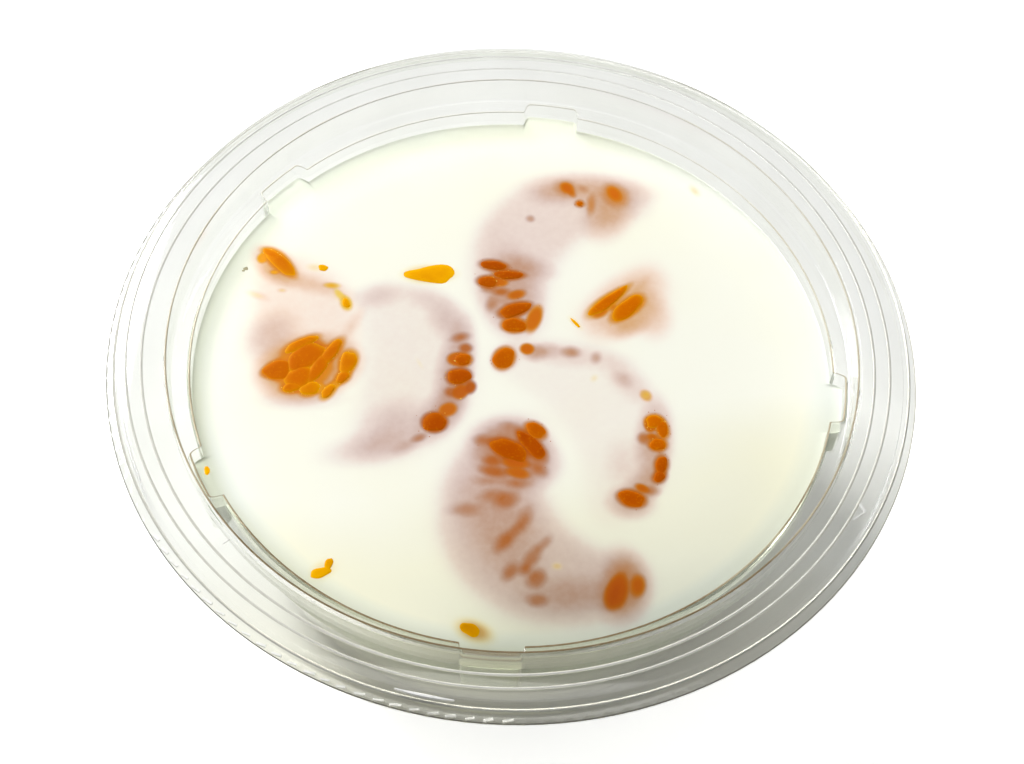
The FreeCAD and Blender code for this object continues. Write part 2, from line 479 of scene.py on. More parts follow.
def frosted_material():
    """The same plastic on its fine ridges, where it is too rough to see through. The lip's edge is greyer,
    and both are painted darker towards the front, as shade.
    """
    material, tree = new_material("frosted_plastic", Roughness=0.35, IOR=1.4)
    grain = uneven(tree, 900, 3)
    place = front_share(tree)
    # Painted shade: both colours darken towards the front, away from the window.
    ridge = ramp(tree, place, [
        (0.1, 228, 228, 224), (0.35, 206, 205, 198),
        (0.7, 204, 203, 194), (1.0, 212, 211, 203)])
    rim = ramp(tree, place, [
        (0.2, 216, 214, 206), (0.6, 196, 194, 186), (0.85, 144, 142, 132)])
    colour = mix_colour(tree, painted(tree)[0], ridge, rim)
    colour_it(tree, multiplied(tree, colour, [0.9, 0.9, 0.9, 1], grain))
    worn(tree, 1300, 2, 0.28, 0.42)
    bump(tree, 700, 2, 0.15, 0.02)
    let_light_through(tree, srgb(240, 240, 236))
    return material


def edge_shade_material():
    """Painted shade: brown at the front, where little light comes through the edges, and near white at the
    back.
    """
    material, tree = new_material("plastic_edge", Roughness=0.3, IOR=1.4)
    wander = uneven(tree, 90, 3, 0.35, 0.65, -0.12, 0.12)
    place = math_node(tree, "ADD", front_share(tree), wander)
    brown = ramp(tree, place, [
        (0.1, 232, 231, 224), (0.35, 212, 207, 190),
        (0.6, 188, 177, 150), (0.85, 124, 107, 76)])
    colour_it(tree, brown)
    worn(tree, 1300, 2, 0.22, 0.38)
    bump(tree, 700, 2, 0.1, 0.02)
    let_light_through(tree, srgb(240, 240, 236))
    return material


def scuff_and_highlight_material():
    """Plastic gone white where it was nicked. It also paints the white highlights of the flange's streak and
    the lip's dashes.
    """
    material, tree = new_material("scuffed_plastic_and_highlights", Roughness=0.35)
    grain = uneven(tree, 1800, 3)
    white = mix_colour(tree, grain, srgb(250, 250, 248), srgb(228, 228, 224))
    colour_it(tree, white)
    bump(tree, 2500, 2, 0.3, 0.02)
    return material


def floor_material():
    """Shows white to the camera, and less so through and in the plastic, but keeps the cup's soft shadow."""
    material, tree = new_material(
        "floor", Roughness=0.9, Specular_IOR_Level=0.0, Emission_Color=(1, 1, 1, 1))
    grain = uneven(tree, 60, 3)
    paper = mix_colour(tree, grain, [0.81, 0.81, 0.81, 1], [0.83, 0.83, 0.83, 1])
    colour_it(tree, paper)
    path = add(tree, "LightPath")
    shown = math_node(tree, "MULTIPLY", path.outputs["Is Camera Ray"], floor_glow[0] - floor_glow[1])
    shown = math_node(tree, "ADD", shown, direct_rays(tree, floor_glow[1]))
    tree.links.new(shown, shader_input(tree, "Emission Strength"))
    return material


def direct_rays(tree, strength):
    """That strength for camera, glossy and transmission rays, and 0 for the rays that light things."""
    path = add(tree, "LightPath")
    seen = math_node(tree, "MAXIMUM", path.outputs["Is Camera Ray"], path.outputs["Is Glossy Ray"])
    seen = math_node(tree, "MAXIMUM", seen, path.outputs["Is Transmission Ray"])
    return math_node(tree, "MULTIPLY", seen, strength)


# ---------------- Cup ----------------

def column_angles(step):
    """Angles round the cup in degrees, closer together on the flutes' slopes."""
    angles = set(np.arange(0, 360, step).round(3).tolist())
    slope_steps = 12
    for flute in flute_angles:
        for i in range(slope_steps + 1):
            across = flute_half_back - 0.2 + (flute_half_mouth - flute_half_back + 0.4) * i / slope_steps
            turn = math.degrees(across / neck_radius)
            angles.add(round((flute + turn) % 360, 3))
            angles.add(round((flute - turn) % 360, 3))
    ordered = sorted(angles)
    apart = [ordered[0]] + [b for a, b in zip(ordered, ordered[1:]) if b - a > 0.03]
    return np.array(apart)


def flute_bulge(angles):
    """How far the flutes push the band's wall outwards at each angle."""
    bulge = np.zeros(len(angles))
    for flute in flute_angles:
        turn = (angles - flute + 180) % 360 - 180
        across = np.abs(np.radians(turn)) * neck_radius
        share = np.clip((flute_half_mouth - across) / (flute_half_mouth - flute_half_back), 0, 1)
        # Steep at the flute's mouth, and rounded in its far corners.
        bulge = np.maximum(bulge, flute_depth * (1 - (1 - share) ** 3))
    return bulge


def tooth_share(angles):
    """0 on the lip's teeth and 1 in the scallops between them."""
    share = angles * tooth_count / 360 % 1
    return 4 * share * (1 - share)


Corner = namedtuple("Corner", "radius height rounding kind edge", defaults=(0, "", 0))


def rounded_rows(corners):
    """Rows of a turned skin: (radius, height, kind, edge).

    A rounded corner becomes an arc, whose edge share, which paints the brown edge shade, is strongest in its
    middle.
    """
    steps = 4
    rows = [(corners[0].radius, corners[0].height, corners[0].kind, 0)]
    for before, corner, after in zip(corners, corners[1:], corners[2:]):
        if not corner.rounding:
            rows.append((corner.radius, corner.height, corner.kind, corner.edge))
            continue
        point = np.array([corner.radius, corner.height])
        back = np.array(before[:2]) - point
        ahead = np.array(after[:2]) - point
        back = back / np.linalg.norm(back)
        ahead = ahead / np.linalg.norm(ahead)
        half = math.acos(np.clip(back @ ahead, -1, 1)) / 2
        middle = point + (back + ahead) / np.linalg.norm(back + ahead) * corner.rounding / math.sin(half)
        start = point + back * corner.rounding / math.tan(half) - middle
        end = point + ahead * corner.rounding / math.tan(half) - middle
        sweep = math.pi - 2 * half
        for step in range(steps + 1):
            share = step / steps
            spoke = (math.sin((1 - share) * sweep) * start + math.sin(share * sweep) * end) / math.sin(sweep)
            rows.append((*(middle + spoke), corner.kind, corner.edge * math.sin(math.pi * share)))
    rows.append((corners[-1].radius, corners[-1].height, corners[-1].kind, 0))
    return rows


def turned_skin(rows, angles, capped=True):
    """Vertices and faces of a skin turned about the axis.

    Each row is (radius, height), where either may be an array.
    """
    turn = np.radians(angles)
    count = len(angles)
    vertices = []
    for radius, height in rows:
        ring = [radius * np.cos(turn), radius * np.sin(turn), np.broadcast_to(height, count)]
        vertices.append(np.stack(ring, 1))
    vertices = np.concatenate(vertices)
    # The rows run outwards over the top, so their faces are turned the other way.
    faces = [(a, d, c, b) for a, b, c, d in ring_faces(len(rows), count)]
    if capped:
        first, last = len(vertices), len(vertices) + 1
        ends = [(0, 0, np.mean(rows[0][1])), (0, 0, np.mean(rows[-1][1]))]
        vertices = np.concatenate([vertices, ends])
        b = (len(rows) - 1) * count
        for i in range(count):
            j = (i + 1) % count
            faces.append((first, i, j))
            faces.append((last, b + j, b + i))
    return vertices, faces


def cup_rows():
    """The cup's profile, from the middle of its floor up the inside, over the flange and down the outside."""
    collar_top = mouth_radius + collar_flare
    skirt = flange_radius + skirt_flare
    under = cup_height - flange_thickness
    corners = [
        Corner(floor_middle, wall),
        Corner(base_radius - wall, wall, base_round),
        Corner(neck_radius, band_z - 0.3, band_round),
        Corner(neck_radius, flute_foot_z - flute_draft),
        Corner(neck_radius, flute_foot_z + flute_draft, kind="flute"),
        Corner(neck_radius, jelly_z, kind="flute"),
        Corner(neck_radius, ledge_z, edge_rounds[0], "flute", 1),
        Corner(mouth_radius, ledge_z, ledge_round),
        Corner(collar_top, plate_z, edge_rounds[1], edge=1),
        Corner(plate_middle, plate_z),
        Corner(flange_radius, plate_z, flange_round),
        Corner(skirt - 0.03, lip_z + 0.25),
        Corner(skirt, lip_z, 0.2),
        Corner(lip_radius - 0.35, lip_z),
        Corner(lip_radius, lip_z - 0.03, 0.12, "knurl"),
        Corner(lip_radius, lip_z - lip_thickness, 0.12, "tooth"),
        Corner(lip_radius - 0.5, lip_z - lip_thickness),
        Corner(skirt - 0.35, lip_z - lip_thickness),
        Corner(skirt - flange_thickness, lip_z - 0.25),
        Corner(flange_radius - flange_thickness, under, 0.3),
        Corner(collar_top + wall, under, 0.3),
        Corner(mouth_radius + wall, ledge_z - wall, 0.4),
        Corner(neck_radius + wall, ledge_z - wall, kind="flute"),
        Corner(neck_radius + wall, band_z + flute_draft, kind="flute"),
        Corner(neck_radius + wall, band_z - flute_draft),
        Corner(neck_radius + wall, band_z - 0.4, band_round),
        Corner(base_radius, 0, base_round + wall),
        Corner(floor_middle, 0),
    ]
    return rounded_rows(corners)


def moved_rows(rows, angles):
    """The rows with the flutes and the teeth worked into their radii."""
    bulge = flute_bulge(angles)
    scallop = tooth_share(angles)
    done = []
    for radius, height, kind, _ in rows:
        ring = np.full(len(angles), float(radius))
        if kind == "flute":
            inside = height > ledge_z - wall and radius < neck_radius + wall
            ring = ring + bulge
            if inside:
                ring = np.minimum(ring, np.maximum(radius, mouth_radius - 0.5))
        elif kind in ("tooth", "knurl"):
            ring = ring - tooth_depth * scallop
            if kind == "knurl":
                height = height - knurl_depth * scallop
        done.append((ring, height))
    return done


def stroke(start, end, width, low, high):
    """A fine raised stroke: a bar with bevelled edges."""
    start, end = np.array(start, float), np.array(end, float)
    along = (end - start) / np.linalg.norm(end - start)
    side = np.array([-along[1], along[0]])
    vertices = []
    for height, half in ((low, width / 2), (high, width * 0.4)):
        for point, way in ((start, -1), (end, 1)):
            tip = point + along * way * half
            vertices += [(*(tip - side * half), height), (*(tip + side * half), height)]
    faces = [(0, 1, 3, 2), (4, 6, 7, 5), (0, 4, 5, 1), (2, 3, 7, 6), (0, 2, 6, 4), (1, 5, 7, 3)]
    return vertices, faces


def polar(radius, degrees):
    return radius * math.cos(math.radians(degrees)), radius * math.sin(math.radians(degrees))


def joined(parts):
    """Several (vertices, faces) as one."""
    vertices, faces, start = [], [], 0
    for some, theirs in parts:
        vertices.append(np.asarray(some, float))
        faces += [tuple(start + corner for corner in face) for face in theirs]
        start += len(some)
    return np.concatenate(vertices), faces


def make_cup():
    angles = column_angles(0.4)
    rows = cup_rows()
    vertices, faces = turned_skin(moved_rows(rows, angles), angles)
    edges = np.repeat([edge for *_, edge in rows], len(angles))
    paint = np.zeros((len(vertices), 4))
    paint[:len(edges), 0] = edges
    cup = make_piece("cup_shell", vertices, faces, plastic_material(), paint)
    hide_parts("cup")


def bead(radius, height, half_width, rise, shift=(0, 0), fluted=False):
    """A thin ring with a rounded top, sunk into the plastic under it, and off centre by shift."""
    loop = [(-1, -0.05), (-0.67, 0.25 * rise), (-0.33, 0.75 * rise), (0, rise),
            (0.33, 0.75 * rise), (0.67, 0.25 * rise), (1, -0.05)]
    angles = column_angles(0.6)
    ring = radius + shift[0] * np.cos(np.radians(angles)) + shift[1] * np.sin(np.radians(angles))
    if fluted:
        ring = ring + flute_bulge(angles)
    rows = [(ring + half_width * across, height + up) for across, up in loop + loop[:1]]
    return turned_skin(rows, angles, capped=False)


def make_fine_ridges():
    """The frosted lines: two that the lid's seal left, the flange's shoulder and the lip's edge.

    The paint is 1 on the lip's, which is the last, and 0 on the others.
    """
    rings = zip(seal_radii, seal_lines, seal_shifts)
    beads = [bead(radius, plate_z, line, ridge_rise, shift) for radius, line, shift in rings]
    out, down = shoulder_place
    beads.append(bead(flange_radius + out, plate_z - down, shoulder_line, shoulder_rise))
    beads.append(bead(lip_radius - lip_line - 0.02, lip_z - 0.12, lip_line, lip_rise))
    vertices, faces = joined(beads)
    paint = np.zeros((len(vertices), 4))
    paint[-len(beads[-1][0]):, 0] = 1
    piece = make_piece("fine_ridges", vertices, faces, frosted_material(), paint)


def make_edge_lines():
    """The edges of the mouth and of the neck, where the plastic is looked along; their colour is painted
    shade.
    """
    beads = [bead(mouth_radius + 0.28, plate_z - 0.02, edge_line, edge_rise),
             bead(neck_radius + 0.1, ledge_z - 0.02, edge_line, edge_rise, fluted=True)]
    vertices, faces = joined(beads)
    piece = make_piece("edge_lines", vertices, faces, edge_shade_material())


def edge_highlight_dashes(low, high):
    """Painted highlights: a row of short white dashes along the lip's milled edge, where it would catch the
    light.
    """
    pitch = 360 / tooth_count
    dashes = []
    for tooth in range(90, 114):
        start = tooth * pitch + seeded.uniform(0, 0.2)
        length = pitch * seeded.uniform(0.35, 0.5)
        width = seeded.uniform(0.3, 0.44)
        dashes.append(stroke(polar(58.6, start), polar(58.38, start + length), width, low, high))
    return dashes


def arc_stroke(radius, start, end, width, low, high):
    """A long raised stroke along part of a circle, narrower towards its ends."""
    steps = 16
    vertices = []
    for i in range(steps + 1):
        turn = start + (end - start) * i / steps
        half = width / 2 * (0.3 + 0.7 * math.sin(math.pi * i / steps))
        for away, height in ((-half, low), (-0.8 * half, high), (0.8 * half, high), (half, low)):
            vertices.append((*polar(radius + away, turn), height))
    return vertices, closed_faces(steps + 1, 4)


def make_flange_marks():
    """A small nick and a few scuffs that show white on the flange, and painted highlights: a streak on the
    flange and dashes along the lip's edge.
    """
    low, high = plate_z - 0.05, plate_z + 0.08
    marks = [
        stroke(polar(55.0, 332.0), polar(55.9, 331.4), 0.4, low, high),
        stroke(polar(56.0, 331.2), polar(55.2, 329.4), 0.24, low, high),
        stroke(polar(51.2, 224.5), polar(52.2, 224.5), 0.12, low, high),
        # A painted highlight: a white streak on the flange's near edge.
        arc_stroke(57.3, 257.0, 264.8, 0.42, low - 0.4, high - 0.16),
        *edge_highlight_dashes(lip_z - 0.12, lip_z + 0.06),
    ]
    vertices, faces = joined(marks)
    piece = make_piece("flange_marks", vertices, faces, scuff_and_highlight_material())


# ---------------- Fruit ----------------

# A mark is one juice sac or a soft patch of veiled fruit: its middle, length, width, angle of its
# length from +X in degrees, how bare it is (1 bare, 0 hidden), how soft its edge is, how much more
# golden it is than its segment, and how much it narrows towards one end.
Mark = namedtuple("Mark", "x y length width angle show soft gold taper", defaults=(1.0, 0.25, 0.0, 0.0))
# A segment's hue goes from deep red-brown (0) through orange (0.5) to golden (1).
Segment = namedtuple("Segment", "veil hue patches veiled bare")


def soft_marks(*rows):
    """Marks from rows of x, y, length, width, angle, show and soft, with gold and taper where not 0."""
    return [Mark(*row) for row in rows]


def bare_marks(*rows):
    """Marks of bare sacs, from rows of x, y, length, width and angle, with gold and taper where not 0."""
    return [Mark(*row[:5], 1.0, 0.25, *row[5:]) for row in rows]


segments = {
    "mandarin_segment_1": Segment(
        veil=0.18, hue=0.06,
        patches=soft_marks(
          (-0.8, 13.5, 14, 8, 95, 0.28, 2.6), (1.5, 18.3, 7, 3.5, -15, 0.2, 1.5),
          (11, 34.3, 15, 5, 0, 0.26, 2.2, 0.2), (14.2, 29.5, 9, 6, 70, 0.32, 2.4, 0.2),
          (5, 33.3, 6, 3.5, 20, 0.14, 1.6, 0.1), (7.2, 34.5, 3.4, 3.0, -50, 0.3, 1.0, 0.2),
          (15.2, 33.6, 4.6, 3.4, -60, 0.4, 1.1, 0.3), (-4, 24, 5, 4, 90, 0.03, 2)),
        veiled=soft_marks(
          (-2.5, 15.0, 2.2, 1.4, 0, 0.86, 0.4, 0.3), (0.1, 12.8, 2.6, 1.5, 22, 0.84, 0.45, 0.2),
          (-2.3, 13.2, 2.4, 1.4, 0, 0.55, 0.6), (-4.4, 13.6, 1.8, 1.2, 0, 0.35, 0.6),
          (-3.6, 10.8, 2.6, 1.6, 80, 0.36, 0.7), (-2.2, 9.1, 1.6, 1.4, 0, 0.25, 0.6),
          (-1.8, 11.6, 1.8, 1.4, 0, 0.1, 0.6), (8.2, 33.5, 1.5, 0.9, -60, 0.6, 0.4, 0.2),
          (11.3, 31.3, 3.4, 1.2, 86, 0.45, 0.6, 0.2), (10.0, 34.6, 1.6, 1.1, -30, 0.25, 0.6),
          (1.7, 27.9, 1.3, 1.3, 0, 0.34, 0.45), (3.0, 8.4, 4.9, 2.1, 75, 0.93, 0.45, 0.36),
          (7.4, 34.6, 2.2, 1.7, -50, 0.97, 0.5, 0.3), (15.0, 33.9, 2.8, 1.7, -62, 0.98, 0.5, 0.42)),
        bare=bare_marks(
          (-3.6, 18.2, 3.9, 1.7, -6, 0, -0.1), (-1.2, 16.5, 4.3, 1.6, 2, 0, -0.15),
          (-4.4, 15.0, 3.0, 1.9, -6), (0.1, 9.95, 4.8, 2.3, 26, 0, -0.1), (0.0, 7.0, 3.6, 2.5, 0, 0.18),
          (9.5, 31.45, 0.9, 0.9, 0, 0.2))),
    "mandarin_segment_2": Segment(
        veil=0.09, hue=0.46,
        patches=soft_marks(
          (16.6, 12.0, 13, 7.5, 50, 0.27, 2.4), (21, 10.0, 7, 5, 100, 0.22, 2.0),
          (17.4, 7.7, 4.4, 2.6, 30, 0.3, 1.4), (19.6, 16.4, 7, 3.4, 60, 0.04, 1.8)),
        veiled=soft_marks(
          (18.7, 15.2, 4.2, 1.2, 48, 0.12, 0.8), (13.0, 10.3, 2.6, 1.8, 45, 0.7, 0.5),
          (15.0, 11.3, 1.2, 0.7, 60, 0.55, 0.3)),
        bare=bare_marks(
          (14.4, 12.6, 8.0, 1.8, 45, 0.12, -0.3), (17.15, 11.25, 6.5, 2.6, 47, 0.08, 0.1))),
    "mandarin_segment_3": Segment(
        veil=0.14, hue=0.42,
        patches=soft_marks(
          (-30.2, -2.4, 14, 10.5, 18, 0.46, 2.0), (-36.5, 3, 8, 6, 60, 0.2, 2.4, -0.3),
          (-37.4, 16.2, 7.4, 4.4, -45, 0.4, 1.5), (-32, 13, 10, 2.6, -15, 0.2, 1.2),
          (-30.5, -8, 9, 3, 5, 0.16, 1.4, -0.3), (-31.0, -2.6, 8.4, 7.4, 25, 0.86, 0.8, 0.2)),
        veiled=soft_marks(
          (-39.6, 17.4, 1.5, 1.8, 0, 0.85, 0.35, 0.3), (-37.4, 14.8, 1.1, 0.7, 0, 0.7, 0.3, 0.4),
          (-28.3, 12.8, 2.0, 0.9, 0, 0.62, 0.4, 0.35), (-26.9, 11.1, 2.2, 0.9, -50, 0.46, 0.4, 0.5),
          (-24.6, 5.3, 5.5, 1.4, 66, 0.14, 0.9), (-39.4, 10.2, 2.6, 1.0, -20, 0.16, 0.6, 0.4),
          (-35.8, 11.4, 1.1, 0.6, 0, 0.24, 0.3, 0.4), (-28.6, 0.6, 2.4, 2.0, 0, 0.9, 0.4, 0.2),
          (-29.3, -5.9, 3.4, 2.2, 0, 0.9, 0.45, 0.35), (-25.9, -5.2, 2.6, 1.2, 56, 0.8, 0.4, 0.3)),
        bare=bare_marks(
          (-36.6, 16.6, 6.3, 2.3, -45, 0.14, -0.15), (-38.1, 18.2, 3.4, 1.4, -28, 0.2),
          (-31.8, 1.6, 5.4, 1.7, 33, 0.1), (-30.9, -0.6, 6.6, 3.9, 50, 0, 0.1),
          (-34.9, -3.3, 4.3, 3.2, 18, 0, 0.25), (-27.3, 0.3, 5.6, 1.9, 60, 0.1),
          (-28.9, -2.6, 6.2, 2.1, 66, 0.12), (-24.5, -1.4, 4.4, 2.3, 80, 0.17, 0.15),
          (-25.0, -3.9, 2.5, 1.6, 52, 0.12), (-26.9, -6.5, 2.8, 1.4, 63, 0.2),
          (-31.5, -4.4, 4.4, 3.6, 60, 0.14), (-32.3, -6.2, 2.8, 1.6, 10, 0.14),
          (-29.6, -6.2, 3.0, 2.2, 30, 0.18), (-25.8, 9.6, 1.9, 1.0, -70, 0.42))),
    "mandarin_segment_4": Segment(
        veil=0.1, hue=0.0,
        patches=soft_marks(
          (-8.4, -1.5, 15, 4.6, 84, 0.3, 1.4), (-10.0, -9.5, 9, 5, 60, 0.28, 1.6),
          (-9.8, 7.5, 6.5, 4.6, 120, 0.22, 2.0), (-13.5, 11.5, 6, 3.4, 160, 0.15, 1.8),
          (-21, 11.5, 6, 3.4, 20, 0.17, 1.8), (-16.5, -12, 8, 6.5, 40, 0.2, 2.8),
          (-20, -16, 10, 4, 15, 0.2, 2.0)),
        veiled=soft_marks(
          (-8.0, 4.3, 2.4, 1.3, 20, 0.5, 0.6), (-7.1, 2.4, 1.9, 1.6, 0, 0.62, 0.5),
          (-7.4, -5.5, 2.6, 2.1, 60, 0.86, 0.4, 0.15), (-6.0, -4.6, 2.2, 1.6, 80, 0.84, 0.4),
          (-8.8, -5.6, 1.8, 1.6, 0, 0.5, 0.5), (-9.1, -8.7, 2.6, 2.1, 30, 0.84, 0.45, 0.3),
          (-13.0, -13.8, 1.9, 1.1, 25, 0.46, 0.5), (-14.8, -15.4, 3.0, 1.5, 30, 0.2, 0.8),
          (-8.2, 0.3, 3.0, 2.3, 0, 0.9, 0.4, 0.3)),
        bare=bare_marks(
          (-7.4, 0.3, 2.4, 2.0, 0, 0.18), (-7.8, -2.8, 3.4, 2.7, 12), (-10.9, -11.0, 3.4, 3.1, 0))),
    "mandarin_segment_5": Segment(
        veil=0.07, hue=0.1,
        patches=soft_marks(
          (8, 2.2, 14, 3.6, -4, 0.12, 1.6), (17.4, -2, 8, 4, -50, 0.12, 1.8),
          (21.2, -12.5, 12, 4.4, 86, 0.34, 1.5), (19.6, -20, 6, 4, 50, 0.28, 1.4),
          (17.8, -22.8, 5.5, 4.2, 0, 0.32, 1.6), (16.8, -16.5, 6, 4, 90, 0.1, 2.2),
          (-1.2, 0.9, 4.6, 3.6, 70, 0.22, 1.0)),
        veiled=soft_marks(
          (2.1, 2.8, 2.0, 1.9, 0, 0.97, 0.4, 0.3), (8.7, 2.6, 2.5, 1.7, 0, 0.42, 0.7),
          (5.3, 2.7, 3.2, 2.2, 0, 0.2, 0.9), (12.5, 1.8, 1.8, 1.4, 80, 0.3, 0.6),
          (16.6, -1.8, 2.8, 2.0, -40, 0.18, 0.9), (3.3, 2.2, 3.0, 2.6, 0, 0.3, 0.9),
          (20.0, -4.5, 1.9, 1.5, -60, 0.56, 0.4, 0.5), (19.6, -12.0, 1.6, 1.7, 0, 0.55, 0.6),
          (20.6, -9.6, 1.6, 2.4, 0, 0.9, 0.35, 0.25), (20.9, -11.6, 1.4, 1.0, 0, 0.84, 0.35, 0.2),
          (20.6, -20.7, 2.0, 1.3, 0, 0.46, 0.7), (19.4, -20.3, 1.8, 1.1, -25, 0.93, 0.35, 0.2)),
        bare=bare_marks(
          (-1.3, 0.9, 3.9, 2.9, 72, 0.22), (21.2, -9.0, 2.5, 2.1, 10, 0.38),
          (22.4, -10.2, 2.9, 1.5, 100, 0.3), (21.7, -12.9, 2.3, 1.9, 0, 0.22),
          (22.2, -16.3, 2.9, 1.6, 84, 0.05), (21.9, -18.3, 1.9, 1.4, 50),
          (17.9, -22.1, 3.8, 2.4, -14, 0.05))),
    "mandarin_segment_6": Segment(
        veil=0.25, hue=0.01,
        patches=soft_marks(
          (1.0, -15.5, 12, 9, -30, 0.42, 2.2), (-0.5, -27, 17, 9, 110, 0.22, 3.0),
          (9.5, -37.6, 11, 4.6, 6, 0.22, 2.0), (17, -36.5, 9, 6, 80, 0.42, 2.0, 0.15),
          (16.5, -32.5, 5, 4, 90, 0.16, 1.8, 0.15)),
        veiled=soft_marks(
          (1.2, -17.2, 3.4, 1.5, -6, 0.93, 0.4, 0.25), (1.6, -18.8, 3.0, 1.5, -12, 0.84, 0.45, 0.25),
          (-2.2, -17.0, 2.2, 1.5, 0, 0.5, 0.6), (-2.0, -18.8, 3.4, 1.5, -10, 0.55, 0.6),
          (4.6, -18.0, 2.6, 1.7, -42, 0.4, 0.8), (-3.8, -13.6, 2.2, 1.6, 0, 0.4, 0.7),
          (0.0, -11.0, 2.2, 1.2, 0, 0.24, 0.7), (1.6, -20.6, 2.8, 1.3, 0, 0.38, 0.7),
          (-2.8, -20.4, 3.0, 1.1, 0, 0.24, 0.7), (0.1, -23.3, 3.4, 2.4, 28, 0.44, 0.8),
          (-2.0, -22.7, 2.8, 1.6, 20, 0.34, 0.9), (-5.6, -25.2, 3.6, 1.7, 5, 0.34, 0.9),
          (2.8, -26.3, 3.6, 1.7, 70, 0.36, 0.8), (0.2, -29.9, 3.4, 1.9, 55, 0.48, 0.8),
          (1.7, -28.0, 2.4, 1.2, 52, 0.32, 0.7), (5.8, -29.9, 2.4, 1.1, 52, 0.3, 0.6),
          (4.0, -32.5, 4.2, 1.7, 62, 0.42, 0.7), (1.2, -34.6, 2.7, 1.7, 60, 0.46, 0.7),
          (4.8, -35.4, 2.8, 2.3, 50, 0.48, 0.8), (3.1, -34.2, 1.6, 1.2, 60, 0.34, 0.6),
          (5.0, -38.8, 2.4, 1.6, 0, 0.4, 0.7), (18.8, -35.8, 2.9, 1.8, 84, 0.97, 0.6, 0.3),
          (15.9, -36.8, 5.4, 2.9, 74, 0.99, 0.5, 0.2, -0.15), (15.7, -37.0, 3.6, 1.4, 74, 1, 0.6, -0.03)),
        bare=bare_marks(
          (3.9, -11.5, 3.2, 2.1, -38, 0.2), (3.3, -14.0, 5.8, 2.1, -50, 0, 0.1),
          (0.1, -15.0, 5.6, 3.0, -26, 0, 0.1))),
}

# Loose sacs that lie by themselves in the jelly's surface, and are yellower. Each has its hue and
# how much darker its colour is made, which for the one at the front is painted shade.
loose_sacs = [
    (Mark(-13.5, 15.9, 7.8, 3.3, 4, taper=0.35), 0.96, 0),
    (Mark(9.3, 8.0, 2.2, 0.5, -48), 0.96, 0),
    (Mark(-24.9, -36.2, 2.9, 1.6, 18), 1.0, 0.3),
    (Mark(-23.9, -34.8, 1.9, 1.1, 75), 1.0, 0.3),
    (Mark(-42.7, -21.0, 1.6, 0.8, 100), 1.0, 0.1),
    (Mark(-30.0, 16.1, 1.6, 1.2, -10), 0.96, 0),
    (Mark(-3.9, -43.6, 2.9, 1.8, -20), 0.8, 0.75),
]
yellow_haze = soft_marks(
    (-3.3, -43.8, 4.9, 2.9, -20, 0.85, 0.9), (-31.2, 16.1, 2.2, 1.2, -5, 0.4, 0.5),
    (-13.5, 15.9, 8.2, 3.7, 4, 0.5, 0.6), (-24.6, -35.8, 3.6, 2.6, 40, 0.4, 0.8),
    (12.3, -1.9, 1.1, 0.8, 60, 0.35, 0.4), (7.6, -33.4, 1.2, 0.9, 0, 0.5, 0.4),
    (-13.8, -0.8, 1.4, 0.4, -60, 0.22, 0.3), (-27.0, 10.6, 2.4, 1.0, -50, 0.3, 0.4),
    (20.0, -4.4, 1.2, 1.0, 60, 0.4, 0.3), (9.3, 8.0, 2.6, 0.9, -48, 0.4, 0.3),
    (28.0, 35.3, 1.9, 1.0, -55, 0.5, 0.5))


def mark_share(x, y, mark):
    """How much of the mark shows at each point: its show inside, fading to 0 across its edge."""
    turn = math.radians(mark.angle)
    along = (x - mark.x) * math.cos(turn) + (y - mark.y) * math.sin(turn)
    across = (y - mark.y) * math.cos(turn) - (x - mark.x) * math.sin(turn)
    long_half, wide_half = mark.length / 2, mark.width / 2
    narrowing = 1 + mark.taper * np.clip(along / long_half, -1, 1)
    reach = np.sqrt((along / long_half) ** 2 + (across / (wide_half * narrowing)) ** 2)
    inside = (1 - reach) * min(long_half, wide_half)
    return mark.show * smooth(inside / (2 * mark.soft) + 0.5)


def blurred(picture, radius):
    """The picture, blurred by a bell curve. radius is in cells."""
    offsets = np.arange(-int(3 * radius), int(3 * radius) + 1)
    weights = np.exp(-0.5 * (offsets / radius) ** 2)
    weights /= weights.sum()
    for axis in (0, 1):
        picture = np.apply_along_axis(np.convolve, axis, picture, weights, "same")
    return picture


def halo(mark):
    """The brown glow in the jelly round a bare sac."""
    return mark._replace(length=mark.length + 0.5, width=mark.width + 0.5, show=0.8, soft=0.5)


def segment_shadow(node):
    """A soft picture of the segment's outline from above, on a square grid over the jelly."""
    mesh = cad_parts[node].data
    tree = BVHTree.FromPolygons([v.co for v in mesh.vertices], [p.vertices for p in mesh.polygons])
    low, high = (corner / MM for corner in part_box(node))
    cells = np.arange(-neck_radius, neck_radius, veil_step)
    picture = np.zeros((len(cells), len(cells)))
    for i in np.flatnonzero((cells > low.x) & (cells < high.x)):
        for j in np.flatnonzero((cells > low.y) & (cells < high.y)):
            start = Vector((cells[i], cells[j], cup_height)) * MM
            if tree.ray_cast(start, Vector((0, 0, -1)))[0]:
                picture[i, j] = 1
    return blurred(picture, 1.3 / veil_step)


def sample(picture, x, y):
    """The picture's value at each point, between its cells."""
    i = np.clip((x + neck_radius) / veil_step, 0, len(picture) - 1.001)
    j = np.clip((y + neck_radius) / veil_step, 0, len(picture) - 1.001)
    a, b = i.astype(int), j.astype(int)
    u, v = i - a, j - b
    near = picture[a, b] * (1 - u) + picture[a + 1, b] * u
    far = picture[a, b + 1] * (1 - u) + picture[a + 1, b + 1] * u
    return near * (1 - v) + far * v


shadows = {node: segment_shadow(node) for node in segments}


